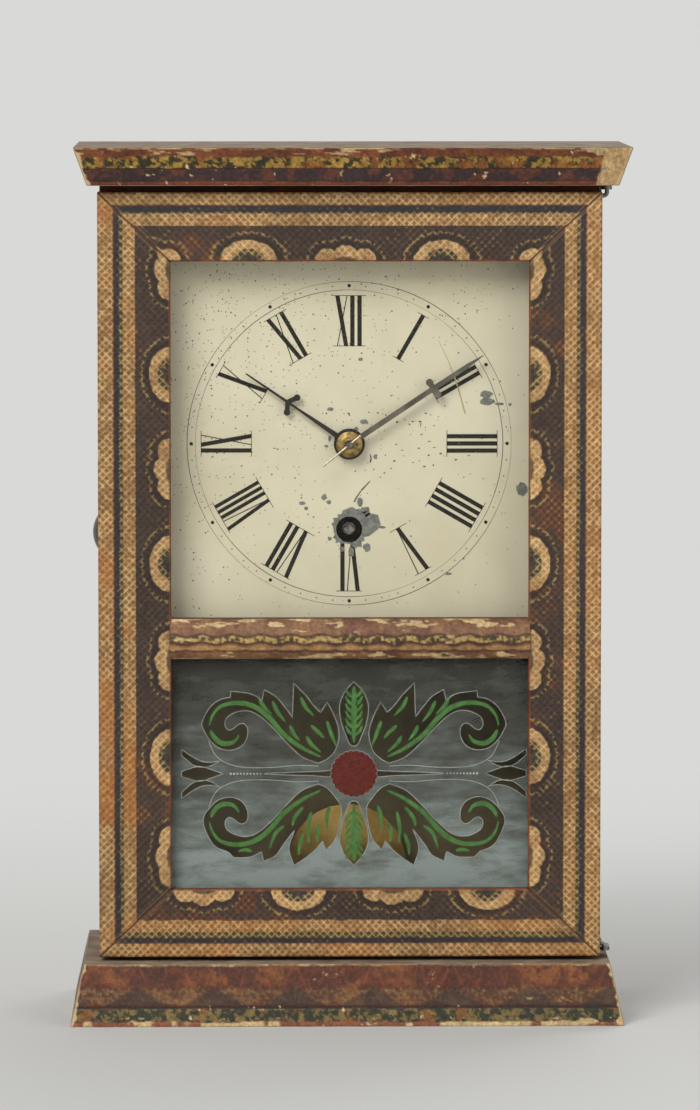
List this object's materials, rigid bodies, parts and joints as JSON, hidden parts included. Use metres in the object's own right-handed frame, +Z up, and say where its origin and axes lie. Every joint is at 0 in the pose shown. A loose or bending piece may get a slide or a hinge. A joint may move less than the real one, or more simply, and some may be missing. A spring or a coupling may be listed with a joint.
{
  "type": "cottage clock",
  "caption": "Spring-driven shelf clock in a paper-covered wooden case with a hinged glazed door, painted dial, and a swinging pendulum behind a stencilled glass.",
  "frame": {"origin": "middle of the base's underside, where the clock rests", "axes": "+Z up, -Y towards the viewer (the dial side), +X to the viewer's right"},
  "size_m": [0.194, 0.088, 0.3042],
  "materials": {
    "printed_paper": "pine covered in embossed, block-printed paper, worn at the arrises",
    "pine": "bare sawn pine",
    "dark_wood": "turned wood, stained dark and handled",
    "label_paper": "aged plain paper pasted to the backboard",
    "enamelled_zinc": "cream painted zinc with black numerals and minute rings, aged",
    "window_glass": "thin clear sheet glass",
    "painted_glass": "sheet glass with a stencilled scroll pattern on a frosted ground",
    "brass": "old lacquered brass",
    "steel": "dull grey steel",
    "blackened_steel": "blackened steel, rubbed on the edges"
  },
  "bodies": {
    "case": {"back_plate": "brass", "backboard": "pine", "base_board": "pine", "base_front_moulding": "printed_paper", "base_glue_blocks": "pine", "base_left_moulding": "printed_paper", "base_right_moulding": "printed_paper", "case_left_side": "printed_paper", "case_right_side": "printed_paper", "case_top": "pine", "cornice_board": "printed_paper", "cornice_front_moulding": "printed_paper", "cornice_left_moulding": "printed_paper", "cornice_right_moulding": "printed_paper", "dial": "enamelled_zinc", "dial_blocks": "pine", "dial_nails": "brass", "front_plate": "brass", "hinge_brackets": "steel", "mainspring": "steel", "mounting_posts": "brass", "mounting_screws": "steel", "paper_label": "label_paper", "plate_pillars": "brass", "plate_studs": "steel"},
    "door": {"door_left_stile": "printed_paper", "door_right_stile": "printed_paper", "door_top_rail": "printed_paper", "door_bottom_rail": "printed_paper", "door_divider": "printed_paper", "upper_glass": "window_glass", "tablet_glass": "painted_glass", "glazing_beads": "pine", "hinge_pintles": "steel", "latch_staple": "steel"},
    "latch": {"latch_knob": "dark_wood", "latch_hook": "steel"},
    "minute_arbor": {"centre_arbor": "steel", "cannon_pinion": "brass", "minute_hand": "blackened_steel", "hand_washer": "brass", "hand_pin": "brass"},
    "hour_pipe": {"hour_wheel": "brass", "hour_hand": "blackened_steel"},
    "motion_wheel": {"minute_wheel": "brass"},
    "centre_train": {"centre_wheel": "brass", "centre_pinion": "steel"},
    "third_train": {"third_arbor": "steel", "third_wheel": "brass"},
    "escape_train": {"escape_arbor": "steel", "escape_wheel": "brass"},
    "great_train": {"great_wheel": "brass", "click_spring": "steel"},
    "winding_work": {"winding_arbor": "steel", "ratchet_wheel": "brass"},
    "click_body": {"click": "steel"},
    "pendulum": {"pendulum_rod": "steel", "bob": "brass", "rating_nut": "brass"},
    "verge_body": {"verge": "steel"}
  },
  "joints": [
    {"name": "door_hinge", "type": "hinge", "parent": "case", "child": "door", "pos_m": [0.0891, -0.024, 0.156], "axis": [0, 0, 1], "range_deg": [0, 170]},
    {"name": "latch_turn", "type": "hinge", "parent": "case", "child": "latch", "pos_m": [-0.08, -0.012, 0.1696], "axis": [1, 0, 0], "range_deg": [0, 75]},
    {"name": "minute_hand_turn", "type": "hinge", "parent": "case", "child": "minute_arbor", "pos_m": [0, 0, 0.2007], "axis": [0, 1, 0], "continuous": true},
    {"name": "hour_hand_turn", "type": "hinge", "parent": "case", "child": "hour_pipe", "pos_m": [0, -0.01, 0.2007], "axis": [0, 1, 0], "continuous": true},
    {"name": "motion_wheel_turn", "type": "hinge", "parent": "case", "child": "motion_wheel", "pos_m": [0.00771, -0.007, 0.19151], "axis": [0, 1, 0], "continuous": true},
    {"name": "escape_wheel_turn", "type": "hinge", "parent": "case", "child": "escape_train", "pos_m": [0, 0.01, 0.22278], "axis": [0, 1, 0], "continuous": true},
    {"name": "third_wheel_turn", "type": "hinge", "parent": "case", "child": "third_train", "pos_m": [-0.01335, 0.01, 0.21491], "axis": [0, 1, 0], "continuous": true},
    {"name": "centre_wheel_turn", "type": "hinge", "parent": "case", "child": "centre_train", "pos_m": [0, 0, 0.2007], "axis": [0, 1, 0], "continuous": true},
    {"name": "great_wheel_turn", "type": "hinge", "parent": "case", "child": "great_train", "pos_m": [0, 0.002, 0.1707], "axis": [0, 1, 0], "continuous": true},
    {"name": "winding_turn", "type": "hinge", "parent": "great_train", "child": "winding_work", "pos_m": [0, 0.002, 0.1707], "axis": [0, 1, 0], "range_deg": [0, 1800]},
    {"name": "click_lift", "type": "hinge", "parent": "great_train", "child": "click_body", "pos_m": [-0.01256, 0, 0.17795], "axis": [0, 1, 0], "range_deg": [0, 6]},
    {"name": "pendulum_swing", "type": "hinge", "parent": "case", "child": "pendulum", "pos_m": [0, 0.0325, 0.2453], "axis": [0, 1, 0], "range_deg": [-3, 3]},
    {"name": "crutch_swing", "type": "hinge", "parent": "case", "child": "verge_body", "pos_m": [0, 0.027, 0.2398], "axis": [0, 1, 0], "range_deg": [-3.6, 3.6]}
  ],
  "couplings": [
    {"joint": "hour_hand_turn", "follows": "minute_hand_turn", "ratio": 0.083333},
    {"joint": "motion_wheel_turn", "follows": "minute_hand_turn", "ratio": -0.33333},
    {"joint": "third_wheel_turn", "follows": "escape_wheel_turn", "ratio": -0.10714},
    {"joint": "centre_wheel_turn", "follows": "escape_wheel_turn", "ratio": 0.0089286},
    {"joint": "great_wheel_turn", "follows": "escape_wheel_turn", "ratio": -0.0011161},
    {"joint": "crutch_swing", "follows": "pendulum_swing", "ratio": 1.1627}
  ]
}
